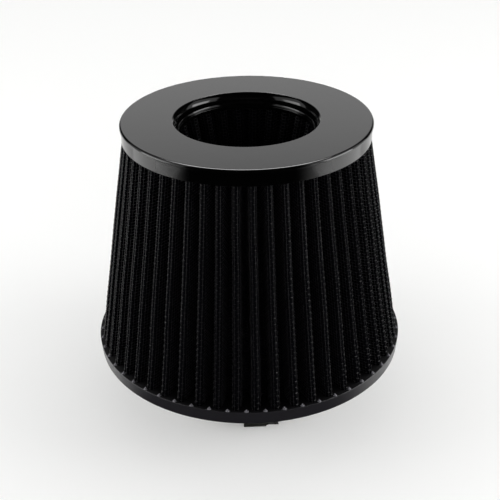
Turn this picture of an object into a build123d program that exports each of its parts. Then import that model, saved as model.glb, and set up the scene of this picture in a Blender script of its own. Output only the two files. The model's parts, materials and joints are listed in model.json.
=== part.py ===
from build123d import *
import os
from math import asin, atan2, cos, degrees, radians, sin

os.makedirs("parts", exist_ok=True)

# Cone air filter with an inverted inner cone, standing on its neck.
# The frame's origin is the centre of the neck's open end, and the cones' axis is +Z. Lengths are in mm.

# Overall sizes
base_diameter = 155.0    # top edge of the base rim
top_diameter = 120.0     # edge of the cap
body_height = 121.0      # underside of the base to the top of the cap
neck_bore = 76.0
neck_length = 27.0       # below the underside of the base
neck_wall = 3.5

# Base moulding
rim_height = 7.0
rim_draft = 0.6          # how far the rim's wall leans in towards its underside
rim_top_chamfer = 0.5
rim_bottom_round = 1.2
neck_root_round = 3.0
neck_end_chamfer = 0.6
mouth_round = 4.0        # bell mouth where the air enters the neck

# Cap moulding
cap_height = 8.0
cap_plate = 2.0
cap_wall = 1.8
lip_overhang = 0.6       # how far the cap's lip stands out past its skirt
lip_depth = 1.7
lip_round = 1.1
throat_diameter = 66.4
throat_wall = 2.6        # from the throat to the channel
throat_flare = 2.0       # how far the throat opens out at its mouth
flare_drop = 1.7
flare_round = 4.2
throat_edge_round = 0.5
throat_toe = 1.0         # how far the throat wall turns in at its lower end
toe_height = 2.7         # where it starts to turn in
toe_drop = 1.0           # how far it falls on the way in
toe_hollow = 2.0
toe_nose = 0.3

# Outer pleats, from the base up to the cap
pleat_count = 52
pleat_turn = -87.9       # direction of one crest, in degrees from +X
pleat_depth = 11.5       # crest to valley on the outer skin
pleat_ledge = 1.2        # rim left bare outside the crests
crest_stand = 0.2        # how far the crests stand out past the cap's skirt
crest_fold_base = 2.3    # fold radii on the outer skin
crest_fold_cap = 2.0
valley_fold_cap = 0.5
screen_thickness = 0.4
media_thickness = 1.15
layer_gap = 0.05         # between a screen and the media that it lies on

# Inner cone, from the cap down to its tip
cone_count = 28
cone_turn = -90.0
cone_length = 68.0
cone_cap_depth = 6.5     # crest to valley on the outer skin, at the cap
cone_tip_depth = 5.0
cone_tip_radius = 25.5   # crests at the tip
cone_throat_gap = 0.4    # from the throat wall to the folds nearest the axis
cone_fold_cap = 3.0
cone_fold_tip = 1.8
cone_valley_fold_tip = 0.5
tip_margin = 1.5         # how far the tip plug reaches past the crests
tip_height = 9.0
tip_chamfer = 2.0

# Resin in the cap
potting_gap = 0.1        # along the cap's walls

# Neck clamp
clamp_level = 7.4        # middle of the band, above the neck's open end
clamp_turn = 2.6         # the housing's direction, in degrees from -Y towards +X
band_width = 12.0
band_thickness = 0.7
band_fit = 0.05          # to the neck, and between layers of the band
band_lift_start = 290.0  # where the band leaves the neck, in degrees round from the housing
band_tail = 50.0         # how far the tail passes the housing, in degrees
slot_count = 20
slot_pitch = 2.6
slot_width = 1.3
slot_length = 7.5
slot_lead = 6.0          # slant of the slots in degrees
slot_overcut = 0.15      # how far a slot's cut runs past both faces of the band
housing_length = 11.0
housing_wall = 0.75
housing_side_fit = 0.1   # from the band's edges to the housing's legs
housing_weld_gap = 0.1   # between the saddle and the fixed end of the band
screw_radius = 3.3       # worm, without its thread
thread_height = 0.3
thread_fit = 0.15        # from the thread to the dome, and from the worm to the end walls
worm_fit = 0.7           # from the worm to the band under it
journal_radius = 2.0
journal_fit = 0.05
journal_reach = 0.6      # how far the plain end stands out of the housing
flange_radius = 3.8
flange_thickness = 1.0
head_across_flats = 7.0
head_length = 4.8
head_slot_width = 1.2
head_slot_depth = 1.6

# Levels and radii that follow
base_under = neck_length
base_top = base_under + rim_height
cap_top = base_under + body_height
cap_end = cap_top - cap_height
plate_under = cap_top - cap_plate
rim_radius = base_diameter / 2
bore_radius = neck_bore / 2
neck_radius = bore_radius + neck_wall
lip_radius = top_diameter / 2
skirt_radius = lip_radius - lip_overhang
throat_radius = throat_diameter / 2
toe_radius = throat_radius - throat_toe
toe_top = cap_end + toe_height
crest_base_radius = rim_radius - pleat_ledge
crest_cap_radius = skirt_radius + crest_stand
media_inset = screen_thickness + layer_gap
sheet_thickness = media_inset + media_thickness
cone_cap_radius = throat_radius + throat_wall + cone_throat_gap + sheet_thickness + cone_cap_depth
tip_top = cap_end - cone_length


def flank_angle(count, crest_radius, depth, fold, valley_fold):
    """Direction that a flank faces, in degrees from its crest's own direction."""
    crest = Vector(crest_radius - fold, 0)
    valley = Vector(crest_radius - depth + valley_fold, 0).rotate(Axis.Z, 180 / count)
    span = valley - crest
    lean = degrees(asin((fold + valley_fold) / span.length))
    return degrees(atan2(span.Y, span.X)) + lean - 90


def skin(count, turn, flank, inset, ends):
    """Corners of one skin of a pleated sheet, this deep in it: a closed loop at each of its two ends.

    Every fold is flat facets round a circle. The flanks keep one angle from end to end, so the facets
    of the two loops are parallel and the sides between them are flat.
    """
    half_pitch = 180 / count
    valley_turn = flank - half_pitch
    valley_share = cos(radians(valley_turn))
    loops = []
    for level, crest_radius, depth, fold in ends:
        floor_radius = crest_radius - depth
        valley_reach = valley_share * floor_radius - cos(radians(flank)) * (crest_radius - fold) - fold
        valley_fold = valley_reach / (1 - valley_share)
        crest = Vector(crest_radius - fold, 0, level)
        valley = Vector(floor_radius + valley_fold, 0, level).rotate(Axis.Z, half_pitch)
        crest_arm = Vector((fold - inset) / cos(radians(flank / 4)), 0)
        valley_arm = Vector((valley_fold + inset) / cos(radians(valley_turn / 2)), 0)
        pleat = [crest + crest_arm.rotate(Axis.Z, share * flank) for share in (-0.75, -0.25, 0.25, 0.75)]
        for share in (0.5, -0.5):
            pleat.append(valley - valley_arm.rotate(Axis.Z, half_pitch + share * valley_turn))
        angles = [turn + 2 * half_pitch * step for step in range(count)]
        loops.append([corner.rotate(Axis.Z, angle) for angle in angles for corner in pleat])
    return loops


def pleated_sheet(count, turn, flank, ends, outer_inset, inner_inset):
    """One layer of a pleated sheet: the solid between the skins at these two depths."""
    skins = [skin(count, turn, flank, inset, ends) for inset in (outer_inset, inner_inset)]
    faces = []
    for low, high in skins:
        for here in range(len(low)):
            before = here - 1
            faces.append(Face(Wire.make_polygon([low[before], low[here], high[here], high[before]])))
    for outer, inner in zip(*skins):
        faces.append(Face(Wire.make_polygon(outer), [Wire.make_polygon(inner)]))
    return Solid(Shell(faces))


# Base: rim, floor and neck in one soft moulding
with BuildPart() as base_ring:
    with BuildSketch(Plane.XZ):
        with BuildLine():
            Polyline(
                (bore_radius, 0),
                (neck_radius, 0),
                (neck_radius, base_under),
                (rim_radius - rim_draft, base_under),
                (rim_radius, base_top),
                (bore_radius, base_top),
                close=True,
            )
        make_face()
        chamfer(vertices().group_by(Axis.Y)[0], neck_end_chamfer)
        fillet(vertices().sort_by_distance((neck_radius, base_under))[0], neck_root_round)
        fillet(vertices().sort_by_distance((rim_radius - rim_draft, base_under))[0], rim_bottom_round)
        chamfer(vertices().sort_by_distance((rim_radius, base_top))[0], rim_top_chamfer)
        fillet(vertices().sort_by_distance((bore_radius, base_top))[0], mouth_round)
    revolve(axis=Axis.Z)
base_ring.part.label = "base_ring"
export_step(base_ring.part, "parts/base_ring.step")

# Outer pleats: the filter cloth, and the wire screen that was folded with it
outer_flank = flank_angle(pleat_count, crest_cap_radius, pleat_depth, crest_fold_cap, valley_fold_cap)
outer_ends = (
    (base_top, crest_base_radius, pleat_depth, crest_fold_base),
    (cap_end, crest_cap_radius, pleat_depth, crest_fold_cap),
)
outer_pleats = (pleat_count, pleat_turn, outer_flank, outer_ends)

with BuildPart() as outer_media:
    add(pleated_sheet(*outer_pleats, media_inset, sheet_thickness))
outer_media.part.label = "outer_media"
export_step(outer_media.part, "parts/outer_media.step")

with BuildPart() as outer_screen:
    add(pleated_sheet(*outer_pleats, 0, screen_thickness))
outer_screen.part.label = "outer_screen"
export_step(outer_screen.part, "parts/outer_screen.step")

# Cap: a ring with a channel underneath, an overhanging lip and a flared throat that ends in a ledge
with BuildPart() as top_cap:
    with BuildSketch(Plane.XZ):
        with BuildLine():
            Polyline(
                (toe_radius, cap_end),
                (throat_radius + throat_wall, cap_end),
                (throat_radius + throat_wall, plate_under),
                (skirt_radius - cap_wall, plate_under),
                (skirt_radius - cap_wall, cap_end),
                (skirt_radius, cap_end),
                (skirt_radius, cap_top - lip_depth),
                (lip_radius, cap_top - lip_depth),
                (lip_radius, cap_top),
                (throat_radius + throat_flare, cap_top),
                (throat_radius, cap_top - flare_drop),
                (throat_radius, toe_top),
                (toe_radius, toe_top - toe_drop),
                close=True,
            )
        make_face()
        fillet(vertices().sort_by_distance((lip_radius, cap_top))[0], lip_round)
        fillet(vertices().sort_by_distance((throat_radius + throat_flare, cap_top))[0], throat_edge_round)
        fillet(vertices().sort_by_distance((throat_radius, cap_top - flare_drop))[0], flare_round)
        fillet(vertices().sort_by_distance((throat_radius, toe_top))[0], toe_hollow)
        chamfer(vertices().sort_by_distance((toe_radius, toe_top - toe_drop))[0], toe_nose)
    revolve(axis=Axis.Z)
top_cap.part.label = "top_cap"
export_step(top_cap.part, "parts/top_cap.step")

# Resin that fills the cap's channel, level with the ends of its walls
with BuildPart() as cap_potting:
    with BuildSketch(Plane.XY.offset(cap_end)):
        Circle(skirt_radius - cap_wall - potting_gap)
        Circle(throat_radius + throat_wall + potting_gap, mode=Mode.SUBTRACT)
    extrude(amount=plate_under - cap_end)
cap_potting.part.label = "cap_potting"
export_step(cap_potting.part, "parts/cap_potting.step")

# Inner cone: its screen lies on the throat side, so it is the layer nearest the axis
cone_flank = flank_angle(cone_count, cone_tip_radius, cone_tip_depth, cone_fold_tip, cone_valley_fold_tip)
cone_ends = (
    (tip_top, cone_tip_radius, cone_tip_depth, cone_fold_tip),
    (cap_end, cone_cap_radius, cone_cap_depth, cone_fold_cap),
)
cone_pleats = (cone_count, cone_turn, cone_flank, cone_ends)

with BuildPart() as cone_media:
    add(pleated_sheet(*cone_pleats, 0, media_thickness))
cone_media.part.label = "cone_media"
export_step(cone_media.part, "parts/cone_media.step")

with BuildPart() as cone_screen:
    add(pleated_sheet(*cone_pleats, media_thickness + layer_gap, sheet_thickness))
cone_screen.part.label = "cone_screen"
export_step(cone_screen.part, "parts/cone_screen.step")

# Plug that closes the inner cone
with BuildPart() as cone_tip:
    with BuildSketch(Plane.XY.offset(tip_top)):
        Circle(cone_tip_radius + tip_margin)
    extrude(amount=-tip_height)
    chamfer(cone_tip.edges().group_by(Axis.Z)[0], tip_chamfer)
cone_tip.part.label = "cone_tip"
export_step(cone_tip.part, "parts/cone_tip.step")

# Neck clamp. Its plane looks along the band's axis, with the housing towards its own -Y.
clamp_plane = Plane(
    (0, 0, clamp_level), x_dir=(cos(radians(clamp_turn)), sin(radians(clamp_turn)), 0), z_dir=(0, 0, 1)
)
section_plane = Plane(clamp_plane.origin, x_dir=-clamp_plane.y_dir, z_dir=clamp_plane.x_dir)
housing_direction = -90
band_radius = neck_radius + band_fit
saddle_radius = band_radius + band_thickness
housing_angle = degrees(asin(housing_length / 2 / band_radius))
lift_turn = 360 - housing_angle - band_lift_start
band_lift = (band_thickness + band_fit) / (1 - cos(radians(lift_turn)))
tail_radius = band_radius + band_lift
tail_turn = 360 - band_lift_start + band_tail
lift_direction = housing_direction + band_lift_start
tail_centre = Vector(-band_lift, 0).rotate(Axis.Z, lift_direction)

# Band: it starts at the saddle, goes once round the neck and passes over its own start as the tail
with BuildPart(clamp_plane) as clamp_band:
    start_angle = housing_angle + degrees(housing_weld_gap / band_radius)
    with BuildSketch(clamp_plane):
        with BuildLine():
            main_turn = band_lift_start - start_angle
            inner = CenterArc((0, 0), band_radius, housing_direction + start_angle, main_turn)
            outer = CenterArc((0, 0), saddle_radius, housing_direction + start_angle, main_turn)
            tail_inner = CenterArc(tail_centre, tail_radius, lift_direction, tail_turn)
            tail_outer = CenterArc(tail_centre, tail_radius + band_thickness, lift_direction, tail_turn)
            Line(inner @ 0, outer @ 0)
            Line(tail_inner @ 1, tail_outer @ 1)
        make_face()
    extrude(amount=band_width / 2, both=True)
    slot_step = degrees(slot_pitch / tail_radius)
    slot_range = (slot_count - 1) * slot_step
    first_slot = lift_direction + tail_turn - slot_step - slot_range
    slot_radius = tail_radius + band_thickness / 2
    slot_reach = band_thickness + 2 * slot_overcut
    with Locations(tail_centre):
        with PolarLocations(slot_radius, slot_count, first_slot, slot_range, endpoint=True):
            Box(slot_reach, slot_width, slot_length, rotation=(slot_lead, 0, 0), mode=Mode.SUBTRACT)
clamp_band.part.label = "clamp_band"
export_step(clamp_band.part, "parts/clamp_band.step")

# Housing: a saddle against the neck, two legs, shoulders over the band and a dome round the worm
tail_top = tail_radius + band_thickness - band_lift * cos(radians(360 - band_lift_start))
screw_height = tail_top + worm_fit + screw_radius
dome_inner = screw_radius + thread_height + thread_fit
dome_outer = dome_inner + housing_wall
passage_width = band_width + 2 * housing_side_fit
housing_width = passage_width + 2 * housing_wall
shoulder_under = tail_top + worm_fit + housing_wall
shoulder_top = shoulder_under + housing_wall
leg_foot = band_radius * cos(radians(housing_angle))
wall_reach = housing_length / 2 - housing_wall

with BuildPart(clamp_plane) as clamp_housing:
    Cylinder(saddle_radius, housing_width)
    with Locations((0, -saddle_radius)):
        Box(housing_length, saddle_radius, housing_width, mode=Mode.INTERSECT)
    with BuildSketch(section_plane):
        with Locations((leg_foot, 0)):
            Rectangle(shoulder_top - leg_foot, housing_width, align=(Align.MIN, Align.CENTER))
        with Locations((leg_foot, 0)):
            Rectangle(screw_height - leg_foot, 2 * dome_outer, align=(Align.MIN, Align.CENTER))
        with Locations((screw_height, 0)):
            Circle(dome_outer)
        with Locations((leg_foot, 0)):
            Rectangle(
                shoulder_under - leg_foot, passage_width, align=(Align.MIN, Align.CENTER), mode=Mode.SUBTRACT
            )
    extrude(amount=housing_length / 2, both=True)
    with BuildSketch(section_plane):
        with Locations((screw_height, 0)):
            Circle(dome_inner)
        with Locations((shoulder_under, 0)):
            Rectangle(screw_height - shoulder_under, 2 * dome_inner, align=(Align.MIN, Align.CENTER))
    extrude(amount=wall_reach, both=True, mode=Mode.SUBTRACT)
    with BuildSketch(section_plane):
        with Locations((screw_height, 0)):
            Circle(journal_radius + journal_fit)
    extrude(amount=housing_length, both=True, mode=Mode.SUBTRACT)
    Cylinder(band_radius, 2 * housing_width, mode=Mode.SUBTRACT)
clamp_housing.part.label = "clamp_housing"
export_step(clamp_housing.part, "parts/clamp_housing.step")

# Screw: plain end, worm, neck, flange and a slotted hexagon head, along the clamp's own X
screw_origin = clamp_plane.from_local_coords(Vector(0, -screw_height, 0))
screw_plane = Plane(screw_origin, x_dir=(0, 0, 1), z_dir=clamp_plane.x_dir)
worm_end = wall_reach - thread_fit
flange_start = housing_length / 2 + thread_fit
head_start = flange_start + flange_thickness
head_end = head_start + head_length

with BuildPart(screw_plane) as clamp_screw:
    with BuildSketch(screw_plane.offset(-housing_length / 2 - journal_reach)):
        Circle(journal_radius)
    extrude(amount=housing_length + journal_reach + thread_fit)
    with BuildSketch(screw_plane.offset(-worm_end)):
        Circle(screw_radius)
    extrude(amount=2 * worm_end)
    with BuildSketch(screw_plane.offset(flange_start)):
        Circle(flange_radius)
    extrude(amount=flange_thickness)
    with BuildSketch(screw_plane.offset(head_start)):
        RegularPolygon(head_across_flats / 2, 6, major_radius=False)
    extrude(amount=head_length)
    with BuildSketch(screw_plane.offset(head_end)):
        Rectangle(2 * head_across_flats, head_slot_width)
    extrude(amount=-head_slot_depth, mode=Mode.SUBTRACT)
clamp_screw.part.label = "clamp_screw"
export_step(clamp_screw.part, "parts/clamp_screw.step")
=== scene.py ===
import json
import math
from bisect import bisect

import bmesh
import bpy
from mathutils import Matrix, Vector


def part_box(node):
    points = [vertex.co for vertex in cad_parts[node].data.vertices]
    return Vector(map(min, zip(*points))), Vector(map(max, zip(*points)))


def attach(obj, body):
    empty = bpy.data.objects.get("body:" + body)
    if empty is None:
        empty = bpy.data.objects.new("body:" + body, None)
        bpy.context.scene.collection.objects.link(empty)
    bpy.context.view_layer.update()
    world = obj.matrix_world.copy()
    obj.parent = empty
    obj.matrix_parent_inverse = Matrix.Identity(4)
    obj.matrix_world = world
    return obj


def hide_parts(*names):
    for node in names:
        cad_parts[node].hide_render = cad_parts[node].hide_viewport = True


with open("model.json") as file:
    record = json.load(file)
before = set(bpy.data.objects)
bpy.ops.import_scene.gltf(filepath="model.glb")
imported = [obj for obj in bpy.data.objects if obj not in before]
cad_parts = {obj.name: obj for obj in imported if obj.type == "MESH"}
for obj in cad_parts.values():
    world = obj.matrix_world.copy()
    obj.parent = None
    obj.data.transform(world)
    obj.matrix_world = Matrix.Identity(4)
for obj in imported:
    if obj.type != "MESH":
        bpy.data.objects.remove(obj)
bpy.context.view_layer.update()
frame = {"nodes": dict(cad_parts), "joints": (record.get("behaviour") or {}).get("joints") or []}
MM = 0.001


# Base moulding: the rim, floor and neck are one piece of soft polyurethane, cast in an open mould on to
# the ends of the pleats. The mould rounds its edges and leaves a satin grain; the open top sets duller.
# Its flat top is also drawn darker than the rim: painted shade on the ledge and between the pleats.
base_low, base_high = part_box("base_ring")
rim_height = 7.0 * MM
rim_draft = 0.6 * MM
rim_top_round = 0.2 * MM
rim_bottom_round = 1.2 * MM
rim_radius = base_high.x
neck_bore_radius = 38.0 * MM
neck_radius = 41.5 * MM
neck_root_round = 3.0 * MM
neck_end_round = 0.8 * MM
mouth_round = 4.0 * MM
polyurethane_black = "#151417"
# painted shade: the flat top between and under the pleats is drawn darker than the rim
ledge_painted_shade = "#070608"
polyurethane_grain = 0.35 * MM
polyurethane_flow = 14.0 * MM
grain_depth = 0.1 * polyurethane_grain
grain_strength = 0.35
moulded_roughness = (0.24, 0.38)
open_roughness = (0.6, 0.75)
open_specular = 0.1
base_segments = 224
level_tolerance = 0.01 * MM
merge_distance = 0.001 * MM


def linear(code):
    """Linear RGBA of an sRGB hex colour."""
    channels = [int(code[at:at + 2], 16) / 255 for at in (1, 3, 5)]
    return [c / 12.92 if c <= 0.04045 else ((c + 0.055) / 1.055) ** 2.4 for c in channels] + [1.0]


def add_node(tree, kind, inputs=None, **settings):
    """Adds a node with its settings. An input is a value, or the socket that feeds it."""
    node = tree.nodes.new(kind)
    for name, value in settings.items():
        setattr(node, name, value)
    for name, value in (inputs or {}).items():
        if isinstance(value, bpy.types.NodeSocket):
            tree.links.new(value, node.inputs[name])
        else:
            node.inputs[name].default_value = value
    return node


def new_material(name, colour, roughness, metallic=0.0):
    """A material with its tree, its shader and the place on the piece that its patterns read."""
    material = bpy.data.materials.new(name)
    material.use_nodes = True
    shader = material.node_tree.nodes["Principled BSDF"]
    shader.inputs["Base Color"].default_value = linear(colour)
    shader.inputs["Roughness"].default_value = roughness
    shader.inputs["Metallic"].default_value = metallic
    place = add_node(material.node_tree, "ShaderNodeTexCoord")
    return material, material.node_tree, shader, place


def rounded(corners, steps=6, hold_share=0.1):
    """Points of an outline in radius and height. A corner is (radius, height, rounding).

    A short straight hold on each side of a round keeps the shading of the flat faces beside it even.
    """
    points = []
    for at, (radius, height, rounding) in enumerate(corners):
        corner = Vector((radius, height))
        if not rounding:
            points.append(corner)
            continue
        back = (Vector(corners[at - 1][:2]) - corner).normalized()
        ahead = (Vector(corners[(at + 1) % len(corners)][:2]) - corner).normalized()
        half_angle = back.angle(ahead) / 2
        run = rounding / math.tan(half_angle)
        centre = corner + (back + ahead).normalized() * rounding / math.sin(half_angle)
        start, end = corner + back * run - centre, corner + ahead * run - centre
        hold = hold_share * rounding
        points.append(centre + start + back * hold)
        points += [centre + rounding * start.slerp(end, step / steps) for step in range(steps + 1)]
        points.append(centre + end + ahead * hold)
    return points


def add_piece(name, mesh, material):
    """A piece at the origin with one material."""
    mesh.materials.clear()
    mesh.materials.append(material)
    piece = bpy.data.objects.new(name, mesh)
    bpy.context.scene.collection.objects.link(piece)
    return piece


def revolved(name, outline, segments, material, closed=True):
    """A piece turned about the Z axis. An outline that isn't closed starts and ends on the axis."""
    shape = bmesh.new()
    rings = []
    for turn in range(segments):
        angle = 2 * math.pi * turn / segments
        across, along = math.cos(angle), math.sin(angle)
        rings.append([shape.verts.new((r * across, r * along, z)) for r, z in outline])
    for turn in range(segments):
        here, there = rings[turn - 1], rings[turn]
        for at in range(0 if closed else 1, len(outline)):
            shape.faces.new((here[at - 1], there[at - 1], there[at], here[at]))
    bmesh.ops.remove_doubles(shape, verts=shape.verts, dist=merge_distance)
    bmesh.ops.recalc_face_normals(shape, faces=shape.faces)
    mesh = bpy.data.meshes.new(name)
    shape.to_mesh(mesh)
    shape.free()
    mesh.shade_smooth()
    return add_piece(name, mesh, material)


def polyurethane_skin(name, colour, roughness, specular=0.5):
    """Cast polyurethane: a fine grain, and slow patches of more and less sheen between two roughnesses."""
    smooth, dull = roughness
    material, tree, shader, place = new_material(name, colour, (smooth + dull) / 2)
    shader.inputs["Specular IOR Level"].default_value = specular
    at = place.outputs["Object"]
    flow = add_node(
        tree, "ShaderNodeTexNoise", {"Vector": at, "Scale": 1 / polyurethane_flow, "Detail": 3.0}
    )
    sheen = add_node(
        tree, "ShaderNodeMapRange", {"Value": flow.outputs["Fac"], "To Min": smooth, "To Max": dull}
    )
    tree.links.new(sheen.outputs["Result"], shader.inputs["Roughness"])
    grain = add_node(
        tree, "ShaderNodeTexNoise", {"Vector": at, "Scale": 1 / polyurethane_grain, "Detail": 2.0}
    )
    bump = add_node(
        tree,
        "ShaderNodeBump",
        {"Height": grain.outputs["Fac"], "Strength": grain_strength, "Distance": grain_depth},
    )
    tree.links.new(bump.outputs["Normal"], shader.inputs["Normal"])
    return material


rim_under = base_high.z - rim_height
base_outline = rounded([
    (neck_bore_radius, base_low.z, neck_end_round),
    (neck_radius, base_low.z, neck_end_round),
    (neck_radius, rim_under, neck_root_round),
    (rim_radius - rim_draft, rim_under, rim_bottom_round),
    (rim_radius, base_high.z, rim_top_round),
    (neck_bore_radius, base_high.z, mouth_round),
])
polyurethane = polyurethane_skin("moulded_polyurethane", polyurethane_black, moulded_roughness)
base = revolved("base_moulding", base_outline, base_segments, polyurethane)
# The flat top gets the darker colour: painted shade between the pleats.
open_polyurethane = polyurethane_skin("open_polyurethane", ledge_painted_shade, open_roughness, open_specular)
base.data.materials.append(open_polyurethane)
for face in base.data.polygons:
    if face.center.z > base_high.z - level_tolerance:
        face.material_index = 1
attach(base, "filter")
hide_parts("base_ring")


# Outer cloth: a long strip of black cotton gauze, folded into 52 deep pleats and bent round into a cone.
# Its ends are bonded to the base and to the cap's resin, and no two folds are quite alike.
pleat_count = 52
first_crest = math.radians(-87.9)
pleat_depth = 11.5 * MM
crest_fold_base = 2.3 * MM
crest_fold_cap = 2.0 * MM
valley_fold_cap = 0.5 * MM
screen_thickness = 0.45 * MM
cloth_thickness = 0.8 * MM
cloth_rows = 14
cloth_steps = (5, 2, 3)
fold_unevenness = 0.5 * MM
fold_wave = 30.0 * MM
fold_seed = 7.0
cloth_black = "#030304"
cloth_roughness = 0.95
thread_spacing = 0.6 * MM
thread_relief = 0.2 * thread_spacing
thread_strength = 0.6
cloth_low, cloth_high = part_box("outer_media")


def reach(node, level):
    """How far a node's corners at one level lie from the axis, at most."""
    corners = frame["nodes"][node].data.vertices
    return max(corner.co.xy.length for corner in corners if abs(corner.co.z - level) < level_tolerance)


def flank_direction(count, crest_radius, depth, fold, valley_fold):
    """Direction that a pleat's flank faces, from its crest's own direction."""
    crest = Vector((crest_radius - fold, 0))
    valley_radius = crest_radius - depth + valley_fold
    half_pitch = math.pi / count
    span = Vector((valley_radius * math.cos(half_pitch), valley_radius * math.sin(half_pitch))) - crest
    lean = math.asin((fold + valley_fold) / span.length)
    return math.atan2(span.y, span.x) + lean - math.pi / 2


def heading(angle):
    """Direction at an angle from the X axis, of length one."""
    return Vector((math.cos(angle), math.sin(angle)))


def pleat_outline(count, flank, end, inset, steps):
    """One pleat from valley to valley, at one end of its pack and this deep in the sheet.

    An end is its level, crest radius, depth and fold. The steps are the crest's, flank's and valley's.
    """
    level, crest_radius, depth, fold = end
    crest_steps, flank_steps, valley_steps = steps
    half_pitch = math.pi / count
    floor_radius = crest_radius - depth
    share = math.cos(flank - half_pitch)
    valley_fold = (share * floor_radius - math.cos(flank) * (crest_radius - fold) - fold) / (1 - share)
    crest = Vector((crest_radius - fold, 0))
    valley = heading(half_pitch) * (floor_radius + valley_fold)
    crest_angles = [flank * step / crest_steps for step in range(crest_steps + 1)]
    valley_angles = [
        flank + (half_pitch - flank) * step / valley_steps for step in range(valley_steps + 1)
    ]
    on_crest = [crest + (fold - inset) * heading(angle) for angle in crest_angles]
    in_valley = [valley - (valley_fold + inset) * heading(angle) for angle in valley_angles]
    on_flank = [on_crest[-1].lerp(in_valley[0], step / flank_steps) for step in range(1, flank_steps)]
    half = on_crest + on_flank + in_valley
    other_half = [Vector((point.x, -point.y)) for point in reversed(half[1:])]
    return [Vector((point.x, point.y, level)) for point in other_half + half]


def pleat_panel(name, low, high, rows):
    """A sheet between two outlines, with a map in metres: along the fold's outline, and up."""
    columns = len(low)
    lengths = [0.0]
    for at in range(1, columns):
        lengths.append(lengths[-1] + (low[at] - low[at - 1]).length)
    points = []
    places = []
    for row in range(rows + 1):
        points += [a.lerp(b, row / rows) for a, b in zip(low, high)]
        places += [(length, low[0].z + (high[0].z - low[0].z) * row / rows) for length in lengths]
    faces = []
    for row in range(rows):
        for at in range(1, columns):
            here = row * columns + at
            faces.append((here - 1, here, here + columns, here + columns - 1))
    mesh = bpy.data.meshes.new(name)
    mesh.from_pydata(points, [], faces)
    threads = mesh.uv_layers.new(name="threads")
    for loop in mesh.loops:
        threads.data[loop.index].uv = places[loop.vertex_index]
    mesh.shade_smooth()
    return mesh


def new_tree(name, labels):
    """A geometry tree that takes a mesh, a material and these numbers, with its input sockets."""
    kinds = {"Geometry": "NodeSocketGeometry", "Material": "NodeSocketMaterial", "Count": "NodeSocketInt"}
    tree = bpy.data.node_groups.new(name, "GeometryNodeTree")
    tree.interface.new_socket("Geometry", in_out="OUTPUT", socket_type=kinds["Geometry"])
    for label in ("Geometry", "Material", *labels):
        kind = kinds.get(label, "NodeSocketFloat")
        tree.interface.new_socket(label, in_out="INPUT", socket_type=kind)
    return tree, add_node(tree, "NodeGroupInput").outputs


def ring_tree(name, wire_sides=None):
    """Copies of a mesh round the axis, joined and a little uneven. Given sides, its edges are tubes."""
    labels = ("Count", "First Angle", "Step", "Unevenness", "Wave", "Seed", "Wire Radius")
    tree, given = new_tree(name, labels)
    points = add_node(tree, "GeometryNodePoints", {"Count": given["Count"]})
    index = add_node(tree, "GeometryNodeInputIndex")
    angle = add_node(
        tree,
        "ShaderNodeMath",
        {0: index.outputs["Index"], 1: given["Step"], 2: given["First Angle"]},
        operation="MULTIPLY_ADD",
    )
    turn = add_node(
        tree, "FunctionNodeAxisAngleToRotation", {"Axis": (0, 0, 1), "Angle": angle.outputs["Value"]}
    )
    copies = add_node(
        tree,
        "GeometryNodeInstanceOnPoints",
        {
            "Points": points.outputs[0],
            "Instance": given["Geometry"],
            "Rotation": turn.outputs["Rotation"],
        },
    )
    real = add_node(tree, "GeometryNodeRealizeInstances", {"Geometry": copies.outputs["Instances"]})
    joined = add_node(
        tree,
        "GeometryNodeMergeByDistance",
        {"Geometry": real.outputs["Geometry"], "Distance": merge_distance},
    )
    scale = add_node(tree, "ShaderNodeMath", {0: 1.0, 1: given["Wave"]}, operation="DIVIDE")
    noise = add_node(
        tree,
        "ShaderNodeTexNoise",
        {"W": given["Seed"], "Scale": scale.outputs["Value"], "Detail": 1.0},
        noise_dimensions="4D",
    )
    centred = add_node(
        tree,
        "ShaderNodeVectorMath",
        {0: noise.outputs["Color"], 1: (0.5, 0.5, 0.5)},
        operation="SUBTRACT",
    )
    level = add_node(
        tree,
        "ShaderNodeVectorMath",
        {0: centred.outputs["Vector"], 1: (2.0, 2.0, 0.0)},
        operation="MULTIPLY",
    )
    offset = add_node(
        tree,
        "ShaderNodeVectorMath",
        {0: level.outputs["Vector"], "Scale": given["Unevenness"]},
        operation="SCALE",
    )
    shape = add_node(
        tree,
        "GeometryNodeSetPosition",
        {"Geometry": joined.outputs["Geometry"], "Offset": offset.outputs["Vector"]},
    ).outputs["Geometry"]
    if wire_sides:
        lines = add_node(tree, "GeometryNodeMeshToCurve", {"Mesh": shape})
        section = add_node(
            tree,
            "GeometryNodeCurvePrimitiveCircle",
            {"Resolution": wire_sides, "Radius": given["Wire Radius"]},
        )
        shape = add_node(
            tree,
            "GeometryNodeCurveToMesh",
            {
                "Curve": lines.outputs["Curve"],
                "Profile Curve": section.outputs["Curve"],
                "Fill Caps": True,
            },
        ).outputs["Mesh"]
    painted = add_node(
        tree, "GeometryNodeSetMaterial", {"Geometry": shape, "Material": given["Material"]}
    )
    add_node(tree, "NodeGroupOutput", {"Geometry": painted.outputs["Geometry"]})
    return tree


def apply_modifier(piece, modifier):
    """Turns a piece and its modifier into a plain mesh."""
    evaluated = piece.evaluated_get(bpy.context.evaluated_depsgraph_get())
    piece.data = bpy.data.meshes.new_from_object(evaluated)
    piece.modifiers.remove(modifier)


def grown(name, mesh, tree, material, **sizes):
    """A piece that a tree grows from one mesh, as a plain mesh."""
    sizes["material"] = material
    piece = add_piece(name, mesh, material)
    modifier = piece.modifiers.new(tree.name, "NODES")
    modifier.node_group = tree
    for item in tree.interface.items_tree:
        key = item.name.lower().replace(" ", "_")
        if item.in_out == "INPUT" and key in sizes:
            modifier[item.identifier] = sizes[key]
    apply_modifier(piece, modifier)
    piece.data.shade_smooth()
    return piece


def thicken(piece, thickness, offset):
    """Gives a sheet its thickness, to the inside at offset -1 and to the outside at offset 1."""
    modifier = piece.modifiers.new("thickness", "SOLIDIFY")
    modifier.thickness = thickness
    modifier.offset = offset
    apply_modifier(piece, modifier)


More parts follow.
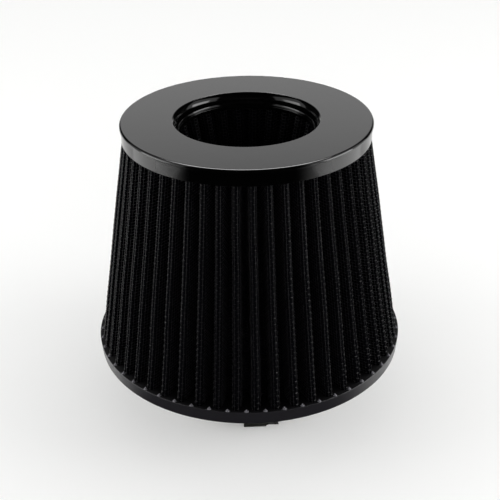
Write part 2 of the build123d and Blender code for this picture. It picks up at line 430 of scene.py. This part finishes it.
def cotton_gauze():
    """Oiled cotton gauze: black and matt, with its plain weave as fine ribs both ways."""
    material, tree, shader, place = new_material("cotton_gauze", cloth_black, cloth_roughness)
    shader.inputs["Specular IOR Level"].default_value = 0.0
    wave_radians = 20  # a wave texture's phase over one unit, at a scale of 1
    wave_scale = 2 * math.pi / (wave_radians * thread_spacing)
    ribs = []
    for direction in ("X", "Y"):
        threads = add_node(
            tree,
            "ShaderNodeTexWave",
            {"Vector": place.outputs["UV"], "Scale": wave_scale, "Distortion": 0.6, "Detail": 1.0},
            bands_direction=direction,
        )
        ribs.append(threads.outputs["Fac"])
    weave = add_node(tree, "ShaderNodeMath", {0: ribs[0], 1: ribs[1]}, operation="ADD")
    bump = add_node(
        tree,
        "ShaderNodeBump",
        {"Height": weave.outputs["Value"], "Strength": thread_strength, "Distance": thread_relief},
    )
    tree.links.new(bump.outputs["Normal"], shader.inputs["Normal"])
    return material


crest_base_radius = reach("outer_screen", cloth_low.z)
crest_cap_radius = reach("outer_screen", cloth_high.z)
outer_flank = flank_direction(
    pleat_count, crest_cap_radius, pleat_depth, crest_fold_cap, valley_fold_cap
)
outer_ends = (
    (cloth_low.z, crest_base_radius, pleat_depth, crest_fold_base),
    (cloth_high.z, crest_cap_radius, pleat_depth, crest_fold_cap),
)
outer_ring = dict(
    count=pleat_count,
    first_angle=first_crest,
    step=2 * math.pi / pleat_count,
    unevenness=fold_unevenness,
    wave=fold_wave,
    seed=fold_seed,
)
cloth = cotton_gauze()
sheet_ring = ring_tree("sheet_ring")
cloth_edges = [
    pleat_outline(pleat_count, outer_flank, end, screen_thickness, cloth_steps) for end in outer_ends
]
outer_pleat = pleat_panel("outer_pleat", *cloth_edges, cloth_rows)
outer_cloth = grown("outer_cloth", outer_pleat, sheet_ring, cloth, **outer_ring)
thicken(outer_cloth, cloth_thickness, -1)
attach(outer_cloth, "filter")
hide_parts("outer_media")


# Outer screen: plain-woven aluminium wire with a black epoxy coat, laid on the cloth and folded with it.
# The warp runs from the base up to the cap, and the weft runs round the cone, over and under it in turn.
warp_radius = 0.11 * MM
weft_radius = 0.18 * MM
weave_lift = 0.2 * MM
weft_rows = 72
weft_pieces = 2
warp_wires = 16
warp_rows = 5
wire_sides = 3
screen_steps = (6, 1, 4)
wire_black = "#0e0d0f"
coat_patch = 2.5 * MM
coat_roughness = (0.26, 0.42)
coat_ior = 1.6


def coated_wire():
    """Epoxy-coated wire: dark grey-black with a soft shine that varies where the coat is thicker."""
    smooth, dull = coat_roughness
    material, tree, shader, place = new_material("coated_wire", wire_black, (smooth + dull) / 2)
    shader.inputs["IOR"].default_value = coat_ior
    coat = add_node(
        tree,
        "ShaderNodeTexNoise",
        {"Vector": place.outputs["Object"], "Scale": 1 / coat_patch, "Detail": 2.0},
    )
    shine = add_node(
        tree, "ShaderNodeMapRange", {"Value": coat.outputs["Fac"], "To Min": smooth, "To Max": dull}
    )
    tree.links.new(shine.outputs["Result"], shader.inputs["Roughness"])
    return material


def wire_mesh(name, chains):
    """Chains of points as bare edges."""
    points = []
    edges = []
    for chain in chains:
        edges += [(len(points) + at, len(points) + at + 1) for at in range(len(chain) - 1)]
        points += chain
    mesh = bpy.data.meshes.new(name)
    mesh.from_pydata(points, edges, [])
    return mesh


def even_places(low, high, count):
    """Evenly spaced places along an outline: the step that each lies in, and its share of that step."""
    lengths = [0.0]
    for at in range(1, len(low)):
        middle = (low[at] + high[at] - low[at - 1] - high[at - 1]) / 2
        lengths.append(lengths[-1] + middle.length)
    places = []
    for wire in range(count):
        along = lengths[-1] * (wire + 0.5) / count
        at = bisect(lengths, along)
        places.append((at, (along - lengths[at - 1]) / (lengths[at] - lengths[at - 1])))
    return places


def between(edges, place, height):
    """The point at one place of an outline, this far up from its low edge to its high one."""
    at, share = place
    foot, head = (edge[at - 1].lerp(edge[at], share) for edge in edges)
    return foot.lerp(head, height)


def woven_screen(node, count, flank, ends, insets, warp_wires, weft_rows, weft_pieces, ring):
    """A screen on a ring of pleats, with its weft in so many pieces. Its wires lie between two depths."""
    over, under = (
        [pleat_outline(count, flank, end, inset, screen_steps) for end in ends] for inset in insets
    )
    middle = [[a.lerp(b, 0.5) for a, b in zip(*outlines)] for outlines in zip(over, under)]
    places = even_places(*middle, warp_wires)
    heights = [row / warp_rows for row in range(warp_rows + 1)]
    wires = {"warp": [[between(middle, place, height) for height in heights] for place in places]}
    for first in range(weft_pieces):
        chains = []
        for row in range(first, weft_rows, weft_pieces):
            height = (row + 0.5) / weft_rows
            start, end = (middle[0][at].lerp(middle[1][at], height) for at in (0, -1))
            sides = [under if (wire + row) % 2 else over for wire in range(warp_wires)]
            crossings = [between(side, place, height) for side, place in zip(sides, places)]
            chains.append([start, *crossings, end])
        wires[f"weft_{first + 1}"] = chains
    for label, chains in wires.items():
        radius = warp_radius if label == "warp" else weft_radius
        mesh = wire_mesh(node, chains)
        piece = grown(f"{node}_{label}", mesh, wire_ring, epoxy_wire, wire_radius=radius, **ring)
        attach(piece, "filter")
        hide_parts(node)


epoxy_wire = coated_wire()
wire_ring = ring_tree("wire_ring", wire_sides)
outer_insets = (weft_radius, weft_radius + 2 * weave_lift)
woven_screen(
    "outer_screen",
    pleat_count,
    outer_flank,
    outer_ends,
    outer_insets,
    warp_wires,
    weft_rows,
    weft_pieces,
    outer_ring,
)


# Ledge nubs: small pips of the base's polyurethane along the rim's ledge, cast with it just in front of
# the pleats at a pitch of their own. They are drawn pale grey as a painted highlight, standing in for
# glints.
nub_count = 55
first_nub = math.radians(-150.2)
# painted highlight: a pale grey that stands in for glints on the ledge
nub_painted_highlight = "#48474b"
nub_roughness = (0.16, 0.28)
nub_width = 2.2 * MM
nub_reach = 1.0 * MM
nub_height = 1.2 * MM
nub_lean = 0.25 * MM
nub_sink = 0.3 * MM
nub_hollow = ((0.2, 0.66), (0.55, 0.32))
nub_steps = 10


def ledge_nub():
    """One nub: a hollow-sided cone on the ledge, with its tip leaning back to the pleats."""
    shape = bmesh.new()
    rings = []
    sections = [(-nub_sink, 1.0), (0, 1.0)]
    sections += [(share * nub_height, spread) for share, spread in nub_hollow]
    for height, spread in sections:
        ring = []
        for step in range(nub_steps):
            angle = 2 * math.pi * step / nub_steps
            reach_out = spread * nub_reach * math.cos(angle) - nub_lean * max(height, 0) / nub_height
            side = spread * nub_width / 2 * math.sin(angle)
            ring.append(shape.verts.new((crest_base_radius + reach_out, side, cloth_low.z + height)))
        rings.append(ring)
    tip = shape.verts.new((crest_base_radius - nub_lean, 0, cloth_low.z + nub_height))
    for step in range(nub_steps):
        for low, high in zip(rings, rings[1:]):
            shape.faces.new((low[step - 1], low[step], high[step], high[step - 1]))
        shape.faces.new((rings[-1][step - 1], rings[-1][step], tip))
    shape.faces.new(reversed(rings[0]))
    bmesh.ops.recalc_face_normals(shape, faces=shape.faces)
    mesh = bpy.data.meshes.new("ledge_nub")
    shape.to_mesh(mesh)
    shape.free()
    return mesh


nub_ring = dict(outer_ring, count=nub_count, first_angle=first_nub, step=2 * math.pi / nub_count)
# The nubs' pale grey is a painted highlight.
thin_polyurethane = polyurethane_skin("thin_polyurethane", nub_painted_highlight, nub_roughness)
nubs = grown("ledge_nubs", ledge_nub(), sheet_ring, thin_polyurethane, **nub_ring)
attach(nubs, "filter")
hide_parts("base_ring")


# Inner cone: a shorter strip of the same gauze in 28 pleats, set point down inside the outer one. Its
# screen lies on the throat's side, and both are bonded to the cap's resin and to the tip plug.
cone_count = 28
cone_first_crest = math.radians(-90)
cone_tip_depth = 5.0 * MM
cone_cap_depth = 6.5 * MM
cone_fold_tip = 1.8 * MM
cone_fold_cap = 3.0 * MM
cone_valley_fold_tip = 0.5 * MM
cone_wall = 1.15 * MM
cone_rows = 8
cone_steps = (5, 2, 4)
cone_unevenness = 0.25 * MM
cone_seed = 8.0
cone_warp_wires = 10
cone_weft_rows = 46
cone_weft_pieces = 1
cone_low, cone_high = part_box("cone_media")
cone_tip_radius = reach("cone_media", cone_low.z)
cone_cap_radius = reach("cone_media", cone_high.z)
cone_flank = flank_direction(
    cone_count, cone_tip_radius, cone_tip_depth, cone_fold_tip, cone_valley_fold_tip
)
cone_ends = (
    (cone_low.z, cone_tip_radius, cone_tip_depth, cone_fold_tip),
    (cone_high.z, cone_cap_radius, cone_cap_depth, cone_fold_cap),
)
cone_ring = dict(
    count=cone_count,
    first_angle=cone_first_crest,
    step=2 * math.pi / cone_count,
    unevenness=cone_unevenness,
    wave=fold_wave,
    seed=cone_seed,
)
cone_skin = cone_wall - cloth_thickness
cone_edges = [pleat_outline(cone_count, cone_flank, end, cone_skin, cone_steps) for end in cone_ends]
cone_pleat = pleat_panel("cone_pleat", *cone_edges, cone_rows)
cone_cloth = grown("cone_cloth", cone_pleat, sheet_ring, cloth, **cone_ring)
thicken(cone_cloth, cloth_thickness, -1)
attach(cone_cloth, "filter")
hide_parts("cone_media")

cone_inset = cone_wall + screen_thickness - weft_radius
cone_insets = (cone_inset, cone_inset - 2 * weave_lift)
woven_screen(
    "cone_screen",
    cone_count,
    cone_flank,
    cone_ends,
    cone_insets,
    cone_warp_wires,
    cone_weft_rows,
    cone_weft_pieces,
    cone_ring,
)


# Tip plug: a puddle of the base's polyurethane, cast on to the inner cone's narrow end to close it. It set
# a little lower in the middle than at its edge.
tip_low, tip_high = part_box("cone_tip")
tip_edge_round = 2.0 * MM
tip_brim_round = 0.8 * MM
tip_dish = 0.6 * MM
tip_segments = 96
tip_outline = rounded([
    (0, tip_low.z, 0),
    (tip_high.x, tip_low.z, tip_edge_round),
    (tip_high.x, tip_high.z, tip_brim_round),
    (0, tip_high.z - tip_dish, 0),
])
tip = revolved("tip_plug", tip_outline, tip_segments, polyurethane, closed=False)
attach(tip, "filter")
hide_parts("cone_tip")


# Cap: one gloss black ABS moulding, a flat ring with a channel underneath. Its lip stands out past the
# skirt, and the throat opens out in a short flare at the top and turns in a little at its lower end.
cap_low, cap_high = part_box("top_cap")
lip_radius = cap_high.x
lip_overhang = 0.6 * MM
lip_depth = 1.7 * MM
lip_round = 1.1 * MM
cap_plate = 2.0 * MM
cap_wall = 1.8 * MM
throat_radius = 33.2 * MM
throat_wall = 2.6 * MM
throat_flare = 2.0 * MM
flare_drop = 1.7 * MM
flare_round = 4.2 * MM
throat_edge_round = 0.5 * MM
throat_toe = 1.0 * MM
toe_height = 2.7 * MM
toe_drop = 1.0 * MM
toe_hollow = 2.0 * MM
toe_nose = 0.3 * MM
small_edge = 0.3 * MM
cap_segments = 256
abs_black = "#010101"
abs_roughness = 0.1
polish_patch = 1.2 * MM
polish_roughness = (0.07, 0.12)
mould_ripple = 9.0 * MM
ripple_depth = 0.05 * MM
ripple_strength = 0.25


def gloss_abs():
    """Moulded ABS from a polished tool: black and glossy, with the faint ripple that flow leaves in it."""
    smooth, dull = polish_roughness
    material, tree, shader, place = new_material("gloss_abs", abs_black, abs_roughness)
    at = place.outputs["Object"]
    polish = add_node(
        tree, "ShaderNodeTexNoise", {"Vector": at, "Scale": 1 / polish_patch, "Detail": 4.0}
    )
    gloss = add_node(
        tree, "ShaderNodeMapRange", {"Value": polish.outputs["Fac"], "To Min": smooth, "To Max": dull}
    )
    tree.links.new(gloss.outputs["Result"], shader.inputs["Roughness"])
    ripple = add_node(
        tree, "ShaderNodeTexNoise", {"Vector": at, "Scale": 1 / mould_ripple, "Detail": 1.0}
    )
    bump = add_node(
        tree,
        "ShaderNodeBump",
        {"Height": ripple.outputs["Fac"], "Strength": ripple_strength, "Distance": ripple_depth},
    )
    tree.links.new(bump.outputs["Normal"], shader.inputs["Normal"])
    return material


skirt_radius = lip_radius - lip_overhang
plate_under = cap_high.z - cap_plate
lip_under = cap_high.z - lip_depth
toe_radius = throat_radius - throat_toe
toe_top = cap_low.z + toe_height
cap_outline = rounded([
    (toe_radius, cap_low.z, small_edge),
    (throat_radius + throat_wall, cap_low.z, small_edge),
    (throat_radius + throat_wall, plate_under, small_edge),
    (skirt_radius - cap_wall, plate_under, small_edge),
    (skirt_radius - cap_wall, cap_low.z, small_edge),
    (skirt_radius, cap_low.z, small_edge),
    (skirt_radius, lip_under, small_edge),
    (lip_radius, lip_under, small_edge),
    (lip_radius, cap_high.z, lip_round),
    (throat_radius + throat_flare, cap_high.z, throat_edge_round),
    (throat_radius, cap_high.z - flare_drop, flare_round),
    (throat_radius, toe_top, toe_hollow),
    (toe_radius, toe_top - toe_drop, toe_nose),
])
cap = revolved("cap", cap_outline, cap_segments, gloss_abs())
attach(cap, "filter")
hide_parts("top_cap")


# Resin: a black two-part resin, poured into the upturned cap's channel. It sets on the upper ends of both
# pleat packs and bonds them to the cap. Little of it shows, so it keeps its CAD node's shape.
resin_black = "#161617"
resin_roughness = 0.5
resin_ripple = 4.0 * MM
resin_ripple_depth = 0.3 * MM
resin_ripple_strength = 0.4


def potting_resin():
    """Poured resin: black, half matt, with a slow uneven skin."""
    material, tree, shader, place = new_material("potting_resin", resin_black, resin_roughness)
    skin = add_node(
        tree,
        "ShaderNodeTexNoise",
        {"Vector": place.outputs["Object"], "Scale": 1 / resin_ripple, "Detail": 3.0},
    )
    bump = add_node(
        tree,
        "ShaderNodeBump",
        {
            "Height": skin.outputs["Fac"],
            "Strength": resin_ripple_strength,
            "Distance": resin_ripple_depth,
        },
    )
    tree.links.new(bump.outputs["Normal"], shader.inputs["Normal"])
    return material


resin = frame["nodes"]["cap_potting"]
resin.data.materials.clear()
resin.data.materials.append(potting_resin())


# Clamp band: a strip of stainless steel rolled round the neck. It starts at the housing's saddle, goes
# once round, and its slotted tail passes under the worm and lies over its own start.
screw_joint = frame["joints"][0]
clamp_turn = math.atan2(screw_joint["axis"][1], screw_joint["axis"][0])
clamp_level = screw_joint["pos_m"][2]
clamp_place = Matrix.Translation((0, 0, clamp_level)) @ Matrix.Rotation(clamp_turn, 4, "Z")
band_width = 12.0 * MM
band_thickness = 0.7 * MM
band_fit = 0.05 * MM
band_lift_start = math.radians(290)
band_tail = math.radians(50)
housing_length = 11.0 * MM
slot_count = 20
slot_pitch = 2.6 * MM
slot_width = 1.3 * MM
slot_length = 7.5 * MM
slot_slant = math.tan(math.radians(6))
band_edge = 0.1 * MM
band_step = math.radians(2.5)
bevel_angle = math.radians(40)
sharp_angle = math.radians(35)
steel_grey = "#b9b6b0"
steel_roughness = 0.3
streak_roughness = (0.2, 0.42)
streak_width = 0.25 * MM
streak_length = 33.3 * MM
streak_depth = 0.02 * MM
streak_strength = 0.2


def rolled_stainless():
    """Rolled stainless strip: bright grey, with fine streaks along its length from the rollers."""
    smooth, dull = streak_roughness
    material, tree, shader, place = new_material(
        "rolled_stainless", steel_grey, steel_roughness, metallic=1.0
    )
    stretch = add_node(
        tree,
        "ShaderNodeMapping",
        {
            "Vector": place.outputs["Object"],
            "Scale": (1 / streak_length, 1 / streak_length, 1 / streak_width),
        },
    )
    streaks = add_node(
        tree, "ShaderNodeTexNoise", {"Vector": stretch.outputs["Vector"], "Scale": 1.0, "Detail": 3.0}
    )
    shine = add_node(
        tree, "ShaderNodeMapRange", {"Value": streaks.outputs["Fac"], "To Min": smooth, "To Max": dull}
    )
    tree.links.new(shine.outputs["Result"], shader.inputs["Roughness"])
    bump = add_node(
        tree,
        "ShaderNodeBump",
        {"Height": streaks.outputs["Fac"], "Strength": streak_strength, "Distance": streak_depth},
    )
    tree.links.new(bump.outputs["Normal"], shader.inputs["Normal"])
    return material


def softened(piece, width, segments=2):
    """Rounds the edges of a piece, and keeps its flat faces flat."""
    bevel = piece.modifiers.new("edges", "BEVEL")
    bevel.width = width
    bevel.segments = segments
    bevel.limit_method = "ANGLE"
    bevel.angle_limit = bevel_angle
    bevel.harden_normals = True
    apply_modifier(piece, bevel)


band_radius = neck_radius + band_fit
housing_angle = math.asin(housing_length / 2 / band_radius)
lift_turn = 2 * math.pi - housing_angle - band_lift_start
band_lift = (band_thickness + band_fit) / (1 - math.cos(lift_turn))
tail_radius = band_radius + band_lift
tail_turn = 2 * math.pi - band_lift_start + band_tail
lift_direction = band_lift_start - math.pi / 2
tail_centre = Vector((-band_lift * math.cos(lift_direction), -band_lift * math.sin(lift_direction), 0))
slot_step = slot_pitch / tail_radius
tail_end = lift_direction + tail_turn
slots_start = tail_end - slot_step * (slot_count + 0.5)
slots_end = slots_start + slot_count * slot_step
band_rows = (-band_width / 2, -slot_length / 2, slot_length / 2, band_width / 2)


def strip(columns, centre, faces_left_out=()):
    """A strip of the band. A column is its angle and radius, and its slant along the band."""
    mesh = bpy.data.meshes.new("strip")
    points = []
    for angle, radius, slant in columns:
        for row in band_rows:
            turned = angle + slant * row / radius
            points.append(centre + Vector((radius * math.cos(turned), radius * math.sin(turned), row)))
    faces = []
    for column in range(len(columns) - 1):
        for row in range(len(band_rows) - 1):
            here = column * len(band_rows) + row
            if (column, row) not in faces_left_out:
                faces.append((here, here + len(band_rows), here + len(band_rows) + 1, here + 1))
    mesh.from_pydata(points, [], faces)
    return mesh


def even_columns(start, end, radius):
    """Columns of a plain run between two directions."""
    count = math.ceil((end - start) / band_step)
    return [(start + (end - start) * at / count, radius, 0.0) for at in range(count + 1)]


steel = rolled_stainless()
slot_columns = [
    (0, tail_radius, 0.0),
    (slot_step * (0.5 - slot_width / slot_pitch / 2), tail_radius, slot_slant),
    (slot_step * (0.5 + slot_width / slot_pitch / 2), tail_radius, slot_slant),
    (slot_step, tail_radius, 0.0),
]
slotted = grown(
    "slotted_tail",
    strip(slot_columns, Vector(), faces_left_out=[(1, 1)]),
    sheet_ring,
    steel,
    count=slot_count,
    first_angle=slots_start,
    step=slot_step,
    unevenness=0.0,
    wave=fold_wave,
    seed=fold_seed,
)
slotted.data.transform(Matrix.Translation(tail_centre))
runs = [
    strip(even_columns(housing_angle - math.pi / 2, lift_direction, band_radius), Vector()),
    strip(even_columns(lift_direction, slots_start, tail_radius), tail_centre),
    strip(even_columns(slots_end, tail_end, tail_radius), tail_centre),
    slotted.data,
]
bpy.data.objects.remove(slotted)
joined = bmesh.new()
for run in runs:
    joined.from_mesh(run)
bmesh.ops.remove_doubles(joined, verts=joined.verts, dist=merge_distance)
band_mesh = bpy.data.meshes.new("clamp_strip")
joined.to_mesh(band_mesh)
joined.free()
band_mesh.transform(clamp_place)
band = add_piece("clamp_strip", band_mesh, steel)
thicken(band, band_thickness, 1)
softened(band, band_edge, segments=1)
band.data.shade_smooth()
band.data.set_sharp_from_angle(angle=sharp_angle)
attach(band, "filter")
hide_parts("clamp_band")


# Clamp housing: pressed from the same steel, a saddle, two legs and a dome over the worm, spot-welded to
# the band's start. Its sheared edges are broken.
housing_edge = 0.15 * MM
flat_angle = math.radians(1)


def from_node(name, node, material, edge):
    """A piece with the shape of a CAD node, with its flat faces whole and its edges rounded."""
    shape = bmesh.new()
    shape.from_mesh(frame["nodes"][node].data)
    bmesh.ops.remove_doubles(shape, verts=shape.verts, dist=merge_distance)
    bmesh.ops.dissolve_limit(shape, angle_limit=flat_angle, verts=shape.verts, edges=shape.edges)
    mesh = bpy.data.meshes.new(name)
    shape.to_mesh(mesh)
    shape.free()
    piece = add_piece(name, mesh, material)
    piece.data.shade_smooth()
    softened(piece, edge)
    return piece


housing = from_node("clamp_cover", "clamp_housing", steel, housing_edge)
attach(housing, "filter")
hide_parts("clamp_housing")


# Clamp screw: a steel worm with a slotted hexagon head, zinc-plated. It turns in the housing's ends, and
# its thread pulls the band's slots along.
screw_edge = 0.2 * MM
worm_radius = 3.3 * MM
worm_length = 9.2 * MM
thread_turns = 3.4
thread_height = 0.28 * MM
thread_width = 0.45 * MM
thread_steps = 40
zinc_grey = "#c4c3c0"
zinc_roughness = 0.28
plating_patch = 1.5 * MM
plating_roughness = (0.2, 0.4)


def zinc_plate():
    """Bright zinc plating: pale grey metal, a little cloudy."""
    smooth, dull = plating_roughness
    material, tree, shader, place = new_material("zinc_plate", zinc_grey, zinc_roughness, metallic=1.0)
    cloud = add_node(
        tree,
        "ShaderNodeTexNoise",
        {"Vector": place.outputs["Object"], "Scale": 1 / plating_patch, "Detail": 3.0},
    )
    shine = add_node(
        tree, "ShaderNodeMapRange", {"Value": cloud.outputs["Fac"], "To Min": smooth, "To Max": dull}
    )
    tree.links.new(shine.outputs["Result"], shader.inputs["Roughness"])
    return material


def thread_tree():
    """A ridge wound along a helix, from its section."""
    tree, given = new_tree("worm_thread", ("Turns", "Radius", "Length"))
    helix = add_node(
        tree,
        "GeometryNodeCurveSpiral",
        {
            "Resolution": thread_steps,
            "Rotations": given["Turns"],
            "Start Radius": given["Radius"],
            "End Radius": given["Radius"],
            "Height": given["Length"],
        },
    )
    section = add_node(tree, "GeometryNodeMeshToCurve", {"Mesh": given["Geometry"]})
    ridge = add_node(
        tree,
        "GeometryNodeCurveToMesh",
        {"Curve": helix.outputs["Curve"], "Profile Curve": section.outputs["Curve"], "Fill Caps": True},
    )
    real = add_node(tree, "GeometryNodeRealizeInstances", {"Geometry": ridge.outputs["Mesh"]})
    painted = add_node(
        tree,
        "GeometryNodeSetMaterial",
        {"Geometry": real.outputs["Geometry"], "Material": given["Material"]},
    )
    add_node(tree, "NodeGroupOutput", {"Geometry": painted.outputs["Geometry"]})
    return tree


zinc = zinc_plate()
screw = from_node("worm_screw", "clamp_screw", zinc, screw_edge)
ridge_section = [
    Vector((-thread_width, -thread_height, 0)),
    Vector((thread_width, -thread_height, 0)),
    Vector((0, thread_height, 0)),
]
section_mesh = bpy.data.meshes.new("ridge_section")
section_mesh.from_pydata(ridge_section, [(0, 1), (1, 2), (2, 0)], [])
thread = grown(
    "worm_thread",
    section_mesh,
    thread_tree(),
    zinc,
    turns=thread_turns,
    radius=worm_radius,
    length=worm_length - 2 * thread_width,
)
axis_turn = Vector((0, 0, 1)).rotation_difference(Vector(screw_joint["axis"])).to_matrix().to_4x4()
thread_start = Matrix.Translation((0, 0, thread_width - worm_length / 2))
thread.data.transform(Matrix.Translation(screw_joint["pos_m"]) @ axis_turn @ thread_start)
for piece in (screw, thread):
    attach(piece, "screw")
    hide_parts("clamp_screw")


# Studio: a pale matt floor, a white sweep and a dark ceiling. A large soft light close on each side and one
# overhead are for gloss alone, a low light further out on each side is for all, and a dim one over the back
# is for matt alone. Gloss shows the sweep only at the back, and the dark room in front.
floor_size = 8.0
floor_white = "#f6f6f5"
sweep_white = 1.07
sweep_level = 0.36
ceiling_level = 0.62
ceiling_dark = 0.03
backdrop_white = 1.0
sky_gain = 3.2
sweep_gloss = 0.9
room_radius = 0.7
room_height = 0.6
room_clearance = 0.3 * MM
room_steps = 24
room_dark_half = math.radians(44)
room_fade_half = math.radians(80)
room_turn = math.radians(-4)
sweep_half = math.radians(14)
sweep_end_half = math.radians(26)
to_left = Vector((-1, 1, 1))
near_light_place = Vector((0.31, -0.05, 0.25))
near_light_target = Vector((0, -0.05, 0.25))
near_light_size = (0.4, 0.5)
near_left_radiance = 0.7
near_right_radiance = 0.8
low_light_place = Vector((0.75, -0.1, 0.25))
low_light_target = Vector((0, 0, 0))
low_light_size = (0.46, 0.46)
low_left_radiance = 3.2
low_right_radiance = 4.4
top_light_place = Vector((0, 0.35, 1.1))
top_light_target = Vector((0, 0, 0.1))
top_light_size = (1.0, 0.5)
top_radiance = 12.0
back_light_place = Vector((0, 1.0, 1.4))
back_light_target = Vector((0, 1.0, 0))
back_light_size = (2.4, 1.4)
back_radiance = 0.25
camera_place = Vector((0, -449.43, 325.89)) * MM
camera_pitch = math.radians(27.986)
camera_roll = math.radians(-0.80)
camera_sensor = 36.0
camera_lens = 73.2
camera_shift_x = 0.00406
camera_shift_y = -0.03736


def stage_piece(name, points, faces, material):
    """A piece of the studio."""
    mesh = bpy.data.meshes.new(name)
    mesh.from_pydata(points, [], faces)
    piece = add_piece(name, mesh, material)
    return piece


def floor_paint():
    """Matt white paint: even, with no shine."""
    material, _, shader, _ = new_material("floor_paint", floor_white, 1.0)
    shader.inputs["Specular IOR Level"].default_value = 0.0
    return material


def dark_room():
    """The unlit room: black in front, and gone towards the sides."""
    material, tree, shader, place = new_material("dark_room", "#000000", 1.0)
    shader.inputs["Specular IOR Level"].default_value = 0.0
    axes = add_node(tree, "ShaderNodeSeparateXYZ", {"Vector": place.outputs["Object"]}).outputs
    side = add_node(tree, "ShaderNodeMath", {0: axes["X"]}, operation="ABSOLUTE")
    ahead = add_node(tree, "ShaderNodeMath", {0: axes["Y"], 1: -1.0}, operation="MULTIPLY")
    turn = add_node(
        tree,
        "ShaderNodeMath",
        {0: side.outputs["Value"], 1: ahead.outputs["Value"]},
        operation="ARCTAN2",
    )
    fade = add_node(
        tree,
        "ShaderNodeMapRange",
        {
            "Value": turn.outputs["Value"],
            "From Min": room_dark_half,
            "From Max": room_fade_half,
            "To Min": 1.0,
            "To Max": 0.0,
        },
        interpolation_type="SMOOTHSTEP",
    )
    tree.links.new(fade.outputs["Result"], shader.inputs["Alpha"])
    return material


half = floor_size / 2
floor_corners = [(-half, -half, 0), (half, -half, 0), (half, half, 0), (-half, half, 0)]
stage_piece("floor", floor_corners, [(0, 1, 2, 3)], floor_paint())

room_points = [Vector((0, 0, room_clearance))]
for step in range(room_steps + 1):
    turn = room_fade_half * (2 * step / room_steps - 1)
    for height in (room_clearance, room_height):
        room_points.append(Vector((room_radius * math.sin(turn), -room_radius * math.cos(turn), height)))
room_faces = []
for step in range(room_steps):
    at = 1 + 2 * step
    room_faces += [(0, at, at + 2), (at, at + 1, at + 3, at + 2)]
room = stage_piece("front_room", room_points, room_faces, dark_room())
room.rotation_euler.z = room_turn
room.visible_camera = False
room.visible_diffuse = False
room.visible_shadow = False
room.visible_transmission = False


def soft_light(name, place, target, size, radiance, in_gloss=True, in_matt=True):
    """A rectangular light of even brightness that faces a point, and that gloss or matt surfaces show."""
    width, height = size
    lamp = bpy.data.lights.new(name, "AREA")
    lamp.shape = "RECTANGLE"
    lamp.size = width
    lamp.size_y = height
    lamp.energy = math.pi * width * height * radiance
    light = bpy.data.objects.new(name, lamp)
    light.location = place
    light.rotation_euler = (target - place).to_track_quat("-Z", "Y").to_euler()
    light.visible_camera = False
    light.visible_glossy = in_gloss
    light.visible_diffuse = in_matt
    bpy.context.scene.collection.objects.link(light)


near_light = dict(target=near_light_target, size=near_light_size, in_matt=False)
low_light = dict(target=low_light_target, size=low_light_size)
soft_light("left_light", to_left * near_light_place, radiance=near_left_radiance, **near_light)
soft_light("right_light", near_light_place, radiance=near_right_radiance, **near_light)
soft_light("low_left_light", to_left * low_light_place, radiance=low_left_radiance, **low_light)
soft_light("low_right_light", low_light_place, radiance=low_right_radiance, **low_light)
soft_light("top_light", top_light_place, top_light_target, top_light_size, top_radiance, in_matt=False)
soft_light(
    "back_light", back_light_place, back_light_target, back_light_size, back_radiance, in_gloss=False
)

# The sky is the sweep and the ceiling. Matt surfaces get it brighter than gloss, and the camera sees white.
world = bpy.data.worlds.new("studio")
bpy.context.scene.world = world
world.use_nodes = True
sky = world.node_tree
sky.nodes.clear()
path = add_node(sky, "ShaderNodeLightPath").outputs
direction = add_node(sky, "ShaderNodeTexCoord")
axes = add_node(sky, "ShaderNodeSeparateXYZ", {"Vector": direction.outputs["Generated"]})
sweep = add_node(
    sky,
    "ShaderNodeMapRange",
    {
        "Value": axes.outputs["Z"],
        "From Min": sweep_level,
        "From Max": ceiling_level,
        "To Min": sweep_white,
        "To Max": ceiling_dark,
    },
    interpolation_type="SMOOTHSTEP",
)
side = add_node(sky, "ShaderNodeMath", {0: axes.outputs["X"]}, operation="ABSOLUTE")
turn = add_node(
    sky, "ShaderNodeMath", {0: side.outputs["Value"], 1: axes.outputs["Y"]}, operation="ARCTAN2"
)
behind = add_node(
    sky,
    "ShaderNodeMapRange",
    {
        "Value": turn.outputs["Value"],
        "From Min": sweep_half,
        "From Max": sweep_end_half,
        "To Min": sweep_gloss,
        "To Max": 0.0,
    },
    interpolation_type="SMOOTHSTEP",
)
in_gloss = add_node(
    sky,
    "ShaderNodeMath",
    {0: path["Is Glossy Ray"], 1: path["Is Transmission Ray"]},
    operation="MAXIMUM",
)
gain = add_node(
    sky, "ShaderNodeMix", {0: in_gloss.outputs["Value"], 2: sky_gain, 3: behind.outputs["Result"]}
)
lit = add_node(
    sky, "ShaderNodeMath", {0: sweep.outputs["Result"], 1: gain.outputs[0]}, operation="MULTIPLY"
)
seen = add_node(sky, "ShaderNodeMix", {0: path["Is Camera Ray"], 2: lit.outputs[0], 3: backdrop_white})
background = add_node(
    sky, "ShaderNodeBackground", {"Color": linear("#ffffff"), "Strength": seen.outputs[0]}
)
add_node(sky, "ShaderNodeOutputWorld", {"Surface": background.outputs["Background"]})

camera_data = bpy.data.cameras.new("camera")
camera_data.sensor_width = camera_sensor
camera_data.lens = camera_lens
camera_data.shift_x = camera_shift_x
camera_data.shift_y = camera_shift_y
camera = bpy.data.objects.new("camera", camera_data)
camera.matrix_world = (
    Matrix.Translation(camera_place)
    @ Matrix.Rotation(math.pi / 2 - camera_pitch, 4, "X")
    @ Matrix.Rotation(camera_roll, 4, "Z")
)
bpy.context.scene.collection.objects.link(camera)
bpy.context.scene.camera = camera
bpy.context.scene.view_settings.view_transform = "Standard"
